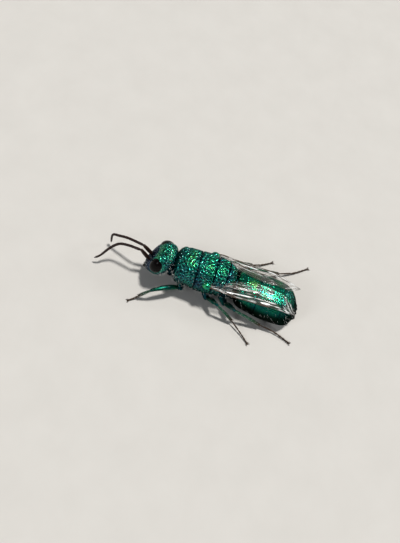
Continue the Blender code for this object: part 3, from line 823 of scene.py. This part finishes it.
def build_foot(name, knee, ankle, instep, toe):
    """The five foot segments, the claws with the pad between them, and the spurs at the shin's end."""
    foot = Parts()
    path = spline((ankle, instep, toe), np.linspace(0, 1, 120))
    path[:, 2] = np.maximum(path[:, 2], FOOT_HALF + 0.004)
    swell = 0.62 + 0.38 * smooth(0.0, 0.85, np.linspace(0, 1, FOOT_RINGS))
    radii = FOOT_HALF * swell * (1.12 if name.startswith("hind") else 1.0)
    for begin, end in pairwise(TARSOMERES):
        foot.add_closed(tube_grid(*domed(cut(path, begin, end, FOOT_RINGS), radii, 4), cols=16))
    tip = path[-1]
    ahead, shin = unit(tip - path[-8]), unit(ankle - knee)
    across = unit(np.cross(ahead, (0, 0, 1)))
    for side in (1, -1):
        claw = [tip + across * side * out + ahead * on + (0, 0, up) for out, on, up in CLAW]
        foot.add_closed(segment(claw, (0.028, 0.024, 0.016, 0.006), steps=16, cols=10))
    foot.add_closed(segment((tip, tip + ahead * 0.12), (0.045, 0.055), steps=8, cols=14, flat=0.6))
    for side in (1, -1):
        spur = [ankle + across * side * out + shin * on for out, on in SPUR]
        foot.add_closed(segment(spur, (0.022, 0.016, 0.004), steps=10, cols=8))
    foot.build("foot_" + name, FOOT, "tarsus", "tarsus_" + name)


def build_leg(name):
    """One leg. Gives the skins of its coxa, femur and tibia, where hairs can grow."""
    root, hip, knee, ankle, instep, toe = (np.array(p) for p in LEGS[name])
    skins = build_coxa(name, root, hip, knee), build_femur(name, hip, knee), build_tibia(name, knee, ankle)
    build_foot(name, knee, ankle, instep, toe)
    return skins


ANTENNAE = {
    "left": (
        (0.29, -0.50, 2.70), (0.24, -0.84, 2.64), (0.12, -1.56, 2.48), (0.10, -2.28, 2.20),
        (0.40, -2.88, 1.68), (0.82, -3.40, 1.02), (0.97, -3.82, 0.62),
    ),
    "right": (
        (-0.28, -0.46, 2.49), (-0.36, -0.90, 2.48), (-0.64, -1.81, 2.20), (-0.82, -2.50, 1.84),
        (-1.00, -3.08, 1.38), (-0.92, -3.13, 0.42),
    ),
}
SCAPE_WIDTHS = (0.095, 0.145, 0.145, 0.110)
PEDICEL = 0.16  # length of the short second segment
FLAGELLOMERES = 11
WHIP_RINGS = 14


def build_antenna(word, side):
    socket, elbow = placed(mirrored(SOCKET_AT, side)), np.array(ANTENNAE[word][0])
    scape = segment((socket, (socket + elbow) / 2, elbow), SCAPE_WIDTHS, steps=40, cols=24)
    Parts().add_closed(scape).build("scape_shell_" + word, HORN, "horn", "scape_" + word)
    whip = Parts()
    path = spline(ANTENNAE[word], np.linspace(0, 1, 300))
    lengths = spline([(0.44,), (0.36,), (0.33,), (0.36,)], np.linspace(0, 1, FLAGELLOMERES))[:, 0]
    marks = np.concatenate(((0, PEDICEL), PEDICEL + np.cumsum(lengths)))
    f = np.linspace(0, 1, WHIP_RINGS)
    for k, (begin, end) in enumerate(pairwise(marks / marks[-1])):
        thick = 0.080 if k == 0 else 0.106 - 0.026 * smooth(0.6, 1.0, k / FLAGELLOMERES)
        radii = thick * (0.90 + 0.10 * np.sin(math.pi * f) ** 0.3)
        if k == FLAGELLOMERES:
            radii = radii * (1 - 0.55 * smooth(0.4, 1.0, f))
        whip.add_closed(tube_grid(*domed(cut(path, begin, end, WHIP_RINGS), radii, 4), cols=24))
    whip.build("whip_" + word, HORN, "horn", "flagellum_" + word)


def build_mandible(word, side):
    jaw = segment(placed(mirrored(MANDIBLE, side)), (0.17, 0.13, 0.03), steps=40, cols=28, flat=0.8)
    Parts().add_closed(jaw).build("jaw_" + word, HORN, "horn", "mandible_" + word)


# -------- wings
# Plan of the left wing, base to tip: (y, x of the outer edge, x of the inner edge, z at the inner edge).
FOREWING = (
    (5.02, 1.52, 1.30, 2.76),
    (5.50, 1.57, 1.20, 2.80),
    (6.20, 1.56, 0.85, 2.86),
    (7.00, 1.60, 0.52, 2.94),
    (7.80, 1.59, 0.30, 3.05),
    (8.65, 1.58, 0.16, 3.12),
    (9.30, 1.57, 0.26, 3.10),
    (10.00, 1.50, 0.22, 3.06),
    (10.60, 1.42, 0.26, 2.88),
    (11.10, 1.33, 0.52, 2.56),
    (11.45, 1.26, 0.80, 2.36),
    (11.75, 1.18, 1.06, 2.20),
)
HINDWING = (
    (6.05, 1.10, 0.86, 2.96),
    (7.00, 1.02, 0.46, 3.06),
    (8.20, 0.92, 0.20, 3.10),
    (9.20, 0.74, 0.12, 3.10),
    (9.72, 0.46, 0.22, 3.08),
)
WING_SLOPE = -0.34  # fall from the inner edge to the outer one, for each mm across
MEMBRANE = 0.012  # half thickness
WING_CELLS = (300, 130)  # along and across
FOLDS = 9  # lengthwise folds across a wing
FOLD_WIDTH = 0.036  # half width of a fold's ridge and of its painted highlight, as a share of the wing's width


def folds(t, s):
    """The folds of a wing at t along it and s across it: their height, and the painted highlight along their
    ridges.
    """
    rise, crest = 0.0 * s, 0.0 * s
    for k in range(FOLDS):
        at = (k + 0.6) / FOLDS + 0.022 * np.sin(5.0 * t + 1.7 * k) + 0.005 * np.sin(31.0 * t + 2.9 * k)
        rise = rise + 0.026 * bell(s - at, 1.6 * FOLD_WIDTH)
        run = np.sin(8.0 * t + 2.3 * k) + 0.8 * np.sin(19.0 * t + 4.1 * k) + 0.5 * np.sin(47.0 * t + k * k)
        lit = smooth(-0.5, 1.2, run)
        crown = bell(s - at, FOLD_WIDTH * (0.15 + 1.05 * lit))
        # The painted highlights are stronger towards the outer edge and near the base, and weaker on a patch
        # halfway along.
        dim = 0.25 + 0.75 * smooth(0.80, 0.35, at) + 0.6 * smooth(0.35, 0.05, t)
        dim = dim * (1 - 0.5 * smooth(0.42, 0.56, t) * smooth(0.18, 0.40, at))
        crest = np.maximum(crest, crown * lit**0.6 * np.clip(dim, 0, 1))
    outer = smooth(0.62, 0.80, t)  # the outer third has no veins and is finely wrinkled
    wrinkle = np.sin(2 * math.pi * 15 * s + 9.0 * t) * np.sin(24.0 * t + 7.0 * s)
    rise = rise + 0.014 * outer * wrinkle
    # Painted highlights on the wrinkles' ridges, and a thin painted highlight along the outer edge.
    crest = np.maximum(crest, 0.9 * outer * smooth(0.40, 0.90, wrinkle))
    crest = np.maximum(crest, 0.8 * bell(s - 0.035, 0.022) * smooth(0.60, 0.72, t))
    inside = smooth(0.0, 0.06, s) * smooth(0.0, 0.05, 1 - s) * smooth(0.0, 0.05, t)
    return rise * inside, crest * inside * (1 - 0.55 * smooth(0.80, 1.0, t))


def wing_surface(rows, side, t, s):
    """Points of a wing at t along it and s across, 0 at the outer edge and 1 at the inner one."""
    y, outer, inner, height = np.moveaxis(spline(rows, t), -1, 0)
    x = outer + (inner - outer) * s
    sag = -0.06 * np.sin(math.pi * s) * (1 - t)
    rise, crest = folds(t, s)
    return np.stack((side * x, y, height + WING_SLOPE * (x - inner) + sag + rise), -1), crest


def membrane(rows, side, sheen):
    """A wing's thin skin. sheen is how strong the painted highlights on its folds are on the upper side; the
    lower one has none.
    """
    t, s = np.meshgrid(*(np.linspace(0, 1, cells) for cells in WING_CELLS), indexing="ij")
    middle, crest = wing_surface(rows, side, t, s)
    crest = sheen * crest
    normal = unit(np.cross(np.gradient(middle, axis=0), np.gradient(middle, axis=1)))
    normal *= np.sign(normal[..., 2:3].mean())
    edge = np.minimum(np.minimum(s, 1 - s) * 12, np.minimum(t, 1 - t) * 24)
    half = MEMBRANE * np.clip(edge, 0.15, 1.0)[..., None]
    ring = np.concatenate((middle + normal * half, (middle - normal * half)[:, ::-1]), axis=1)
    smoke = smooth(0.35, 0.85, t)
    return Parts().add_closed(ring, crest=np.concatenate((crest, 0 * crest), axis=1),
                              smoke=np.concatenate((smoke, smoke), axis=1))


# Each vein: its half width at both ends, then (t, s) marks.
FORE_VEINS = (
    (0.050, 0.026, ((0.00, 0.15), (0.12, 0.05), (0.30, 0.03), (0.58, 0.03))),
    (0.040, 0.022, ((0.00, 0.35), (0.12, 0.15), (0.30, 0.11), (0.55, 0.09))),
    (0.046, 0.030, ((0.50, 0.06), (0.55, 0.06), (0.60, 0.05))),
    (0.024, 0.014, ((0.56, 0.08), (0.64, 0.24), (0.74, 0.20), (0.83, 0.05))),
    (0.026, 0.020, ((0.00, 0.55), (0.14, 0.40), (0.32, 0.42), (0.44, 0.44), (0.60, 0.52))),
    (0.022, 0.016, ((0.00, 0.80), (0.14, 0.72), (0.30, 0.78), (0.46, 0.88))),
    (0.022, 0.018, ((0.36, 0.10), (0.32, 0.24), (0.29, 0.42))),
    (0.018, 0.014, ((0.31, 0.42), (0.30, 0.60), (0.30, 0.78))),
    (0.016, 0.012, ((0.32, 0.26), (0.44, 0.28), (0.56, 0.36), (0.60, 0.52))),
    (0.014, 0.010, ((0.47, 0.29), (0.48, 0.37), (0.46, 0.44))),
)
HIND_VEINS = (
    (0.030, 0.016, ((0.00, 0.20), (0.30, 0.06), (0.62, 0.05))),
    (0.018, 0.010, ((0.05, 0.50), (0.30, 0.34), (0.55, 0.40))),
)
WINGS = {"hind": (HINDWING, HIND_VEINS, 0.6), "fore": (FOREWING, FORE_VEINS, 1.0)}  # and sheen
TEGULA_AT = (1.38, 4.84, 2.58)
TEGULA_HALF = (0.26, 0.34, 0.26)


def build_wing(word, side, kind):
    rows, veins, sheen = WINGS[kind]
    membrane(rows, side, sheen).build(f"membrane_{kind}_{word}", WING, "wing", f"{kind}wing_{word}")
    ribs = Parts()
    for wide, thin, marks in veins:
        u = np.linspace(0, 1, 70)
        route, _ = wing_surface(rows, side, *spline(marks, u).T)
        ribs.add_closed(tube_grid(*domed(route, wide + (thin - wide) * u, 4), cols=12, flat=0.7))
    ribs.build(f"veins_{kind}_{word}", VEIN, "wing")


def build_tegula(word, side):
    centre = mirrored(TEGULA_AT, side)
    grid = dome(centre, TEGULA_HALF, rows=70, cols=80)
    pits = pit_field(grid, 0.07, 0.2)
    scale = Parts().add_closed(pressed(grid, grid_normals(grid, centre), 0.010, pits), hue=0.74, pit=pits)
    scale.build("scale_" + word, GLOSSY, "green_cuticle", "tegula_" + word)


NECK_AT = (0.04, 2.02, 1.92)
NECK_HALF = (1.02, 0.62, 0.78)
WAIST_AT = (0.0, 6.92, 1.66)
WAIST_HALF = (1.15, 0.46, 0.90)


def build_links():
    """The neck and waist that join head, thorax and gaster, darkened as painted shade in the gaps between
    the parts.
    """
    neck = dome(NECK_AT, NECK_HALF, rows=100, cols=180)
    pits = pit_field(neck, 0.13, 0.8)
    neck = pressed(neck, grid_normals(neck, NECK_AT), 0.03, pits)
    links = Parts().add_closed(neck, hue=0.30, pit=pits, dusk=0.8)
    links.add_closed(dome(WAIST_AT, WAIST_HALF, rows=60, cols=120), hue=0.30, pit=0.3, dusk=0.9)
    links.build("links", GREEN, "blue_cuticle")


# -------- sparse pale hairs
HAIR_HALF = 0.0065
# A hair has two rings of three points and a tip. Its patch is where those points lie on the coat's map.
HAIR_FACES = ((0, 1, 4, 3), (1, 2, 5, 4), (2, 0, 3, 5), (3, 4, 6), (4, 5, 6), (5, 3, 6), (0, 2, 1))
HAIR_PATCH = 0.003 * np.array(((0, 0), (0.5, 0), (1, 0), (0, 0.5), (0.5, 0.5), (1, 0.5), (0.5, 1)))
BODY_LENGTH = 12.5
BODY_HAIRS = 220  # for each mm of a plate's length, where hair is thickest
LEG_BRISTLES = 80  # on each femur and each tibia
TUFT_HALF = 0.012
TUFT_INNER = 0.75  # the white tufts keep this far from the body's middle


def build_hairs(name, groups, lean, spread, lengths, half=HAIR_HALF):
    """Thin curved cones. Each group holds roots, their normals and the places of their patches."""
    roots, normals, unwrap = (np.concatenate(each) for each in zip(*groups, strict=True))
    lean = lean + RNG.normal(0, spread, roots.shape)
    lengths = RNG.uniform(*lengths, (len(roots), 1))
    outward = unit(normals + lean)
    side = unit(np.cross(outward, (0.31, 0.22, 0.92)))
    other = np.cross(outward, side)
    corner = [side * math.cos(a) + other * math.sin(a) for a in (0.0, 2.1, 4.2)]
    droop = lean * 0.35 * lengths
    rings = []
    for f, width in ((-0.05, 1.0), (0.5, 0.75)):
        middle = roots + outward * (lengths * f) + droop * f**2
        rings += [middle + c * half * width for c in corner]
    points = np.stack((*rings, roots + outward * lengths + droop), 1).reshape(-1, 3)
    size = len(HAIR_PATCH)
    faces = [tuple(size * i + v for v in face) for i in range(len(roots)) for face in HAIR_FACES]
    mesh = Parts().add(points, faces).build(name, HAIR, "green_cuticle").data
    vertex = np.empty(len(mesh.loops), np.int32)
    mesh.loops.foreach_get("vertex_index", vertex)
    places = unwrap[vertex // size] + HAIR_PATCH[vertex % size]
    mesh.uv_layers.new(name="OFBake").data.foreach_set("uv", places.astype(np.float32).ravel())


def inset(share):
    """A share of the map, 0 to 1, with room for a patch at both ends."""
    return 0.02 + 0.95 * share


def in_strip(k, count, row, column, grid):
    """Places of a grid's points at row and column, in strip k of the map's count strips."""
    across = (k + 0.05 + 0.85 * column / grid.shape[1]) / count
    return np.stack((across, inset(row / grid.shape[0])), -1)


def body_hairs(shells):
    """Hairs on the head, the sides and the underside, and thinly on the gaster."""
    groups = []
    for name, (grid, normal) in shells.items():
        low = 1 - smooth(1.4, 2.4, grid[..., 2])
        weight = 0.04 + 0.20 * low if name.startswith("tergite") else 0.15 + 0.85 * low
        chance = (weight * np.linalg.norm(np.gradient(grid, axis=0), axis=-1)).ravel()
        amount = int(BODY_HAIRS * np.ptp(grid[..., 1]) * weight.mean() + 20)
        pick = RNG.choice(len(chance), size=amount, p=chance / chance.sum())
        roots = grid.reshape(-1, 3)[pick]
        turn = np.arctan2(roots[:, 2] - 1.9, roots[:, 0]) / (2 * math.pi) + 0.5
        places = np.stack((inset(turn), inset(roots[:, 1] / BODY_LENGTH)), -1)
        groups.append((roots, normal.reshape(-1, 3)[pick], places))
    build_hairs("body_hair", groups, (0.0, 0.55, -0.25), 0.28, (0.10, 0.24))


def white_tufts(shells, coxae):
    """Thick white hairs on the cheeks, the collar and the fore coxae, between two y and two z."""
    places = [(shells["head"], (1.30, 1.95), (1.4, 2.5), 90)]
    places += [(shells["pronotum"], (2.05, 2.55), (1.4, 2.5), 90)]
    places += [(coxa, (2.6, 3.6), (0.6, 1.3), 120) for coxa in coxae]
    groups = []
    for k, ((grid, normal), (front, rear), (low, high), amount) in enumerate(places):
        x, y, z = np.moveaxis(grid, -1, 0)
        here = (y > front) & (y < rear) & (z > low) & (z < high) & (np.abs(x) > TUFT_INNER)
        row, column = np.divmod(RNG.choice(np.flatnonzero(here), size=amount), grid.shape[1])
        groups.append((grid[row, column], normal[row, column], in_strip(k, len(places), row, column, grid)))
    build_hairs("white_tufts", groups, (0.0, 0.3, 0.2), 0.30, (0.12, 0.26), half=TUFT_HALF)


def leg_hairs(skins):
    """Short pale bristles along the legs. Each leg segment has its own strip of the coat's map."""
    groups, leans = [], []
    for k, (grid, normal) in enumerate(skins):
        rows, cols = grid.shape[:2]
        row = RNG.integers(rows // 10, rows - rows // 12, LEG_BRISTLES)
        column = RNG.integers(0, cols, LEG_BRISTLES)
        groups.append((grid[row, column], normal[row, column], in_strip(k, len(skins), row, column, grid)))
        leans.append(np.tile(1.1 * unit(grid[-1].mean(0) - grid[0].mean(0)), (LEG_BRISTLES, 1)))
    build_hairs("leg_hair", groups, np.concatenate(leans), 0.20, (0.06, 0.12))


# -------- stage
FLOOR_REACH = 0.6  # metres
# The camera stands at the body's left and slightly ahead, looks down on it, and its frame is tilted.
AZIMUTH, ELEVATION, ROLL = math.radians(87), math.radians(59), math.radians(20.87)
AIM = Vector((0, 6, 1.8))
DISTANCE, SHIFT_LEFT, SHIFT_DOWN = 45.169, 1.9074, 0.0207
SENSOR, LENS = 36, 39.779


def make_stage():
    mesh = bpy.data.meshes.new("floor")
    corners = [(x * FLOOR_REACH, y * FLOOR_REACH, 0) for x, y in ((-1, -1), (1, -1), (1, 1), (-1, 1))]
    mesh.from_pydata(corners, [], [(0, 1, 2, 3)])
    n = Nodes("pale_floor")
    n.set(Base_Color=n.mix(n.noise(3.0), (0.60, 0.58, 0.55), (0.66, 0.64, 0.61)), Roughness=0.85)
    mesh.materials.append(n.material)
    floor = bpy.data.objects.new("floor", mesh)
    bpy.context.scene.collection.objects.link(floor)
    bpy.context.scene.world = make_sky()


def make_sky():
    """A dim studio ceiling above a pale horizon, so that low views end in a pale background."""
    world = bpy.data.worlds.new("studio")
    world.use_nodes = True
    nodes, links = world.node_tree.nodes, world.node_tree.links
    split = nodes.new("ShaderNodeSeparateXYZ")
    links.new(nodes.new("ShaderNodeTexCoord").outputs["Generated"], split.inputs[0])
    height = nodes.new("ShaderNodeMapRange")
    height.interpolation_type = "SMOOTHSTEP"
    for key, value in {"From Min": 0.03, "From Max": 0.24, "To Min": 0.58, "To Max": 0.11}.items():
        height.inputs[key].default_value = value
    links.new(split.outputs["Z"], height.inputs["Value"])
    links.new(height.outputs["Result"], nodes["Background"].inputs["Strength"])
    nodes["Background"].inputs["Color"].default_value = (0.90, 0.94, 1.0, 1.0)
    return world


def sun(name, toward, strength, spread, colour=(1, 1, 1)):
    """A distant lamp that stands towards that direction and shows that many degrees wide."""
    data = bpy.data.lights.new(name, "SUN")
    data.energy = strength
    data.angle = math.radians(spread)
    data.color = colour
    lamp = bpy.data.objects.new(name, data)
    lamp.rotation_euler = Vector(toward).to_track_quat("Z", "Y").to_euler()
    bpy.context.scene.collection.objects.link(lamp)


def make_lights():
    sun("key", (-14, 18, 97), 2.9, 7, (1.0, 0.98, 0.94))
    sun("fill", (60, -56, 58), 0.55, 16, (0.92, 0.96, 1.0))
    sun("rim", (-36, 80, 48), 0.45, 14)


def make_camera():
    right = Vector((math.cos(AZIMUTH), math.sin(AZIMUTH), 0))
    ahead = Vector((math.sin(AZIMUTH), -math.cos(AZIMUTH), 0))
    back = ahead * math.cos(ELEVATION) + Vector((0, 0, math.sin(ELEVATION)))
    up = back.cross(right)
    place = AIM + back * DISTANCE - right * SHIFT_LEFT - up * SHIFT_DOWN
    data = bpy.data.cameras.new("camera")
    data.sensor_width, data.lens, data.clip_start = SENSOR, LENS, MM
    camera = bpy.data.objects.new("camera", data)
    bpy.context.scene.collection.objects.link(camera)
    turn = Matrix((right, up, back)).transposed().to_4x4() @ Matrix.Rotation(ROLL, 4, "Z")
    camera.matrix_world = Matrix.Translation(np.array(place) * MM + ORIGIN) @ turn
    bpy.context.scene.camera = camera


shells = {name: build_plate(name) for name in PLATES}
*head_shell, crown_points = build_head()
shells["head"] = head_shell
build_eyes(crown_points)
build_links()
legs = {leg: build_leg(leg) for leg in LEGS}
for word, side in SIDES:
    build_antenna(word, side)
    build_mandible(word, side)
    build_tegula(word, side)
    for kind in WINGS:
        build_wing(word, side, kind)
body_hairs(shells)
leg_hairs([skin for skins in legs.values() for skin in skins[1:]])
white_tufts(shells, [legs[leg][0] for leg in ("front_left", "front_right")])
make_stage()
make_lights()
make_camera()

bpy.context.scene.view_settings.view_transform = "Standard"
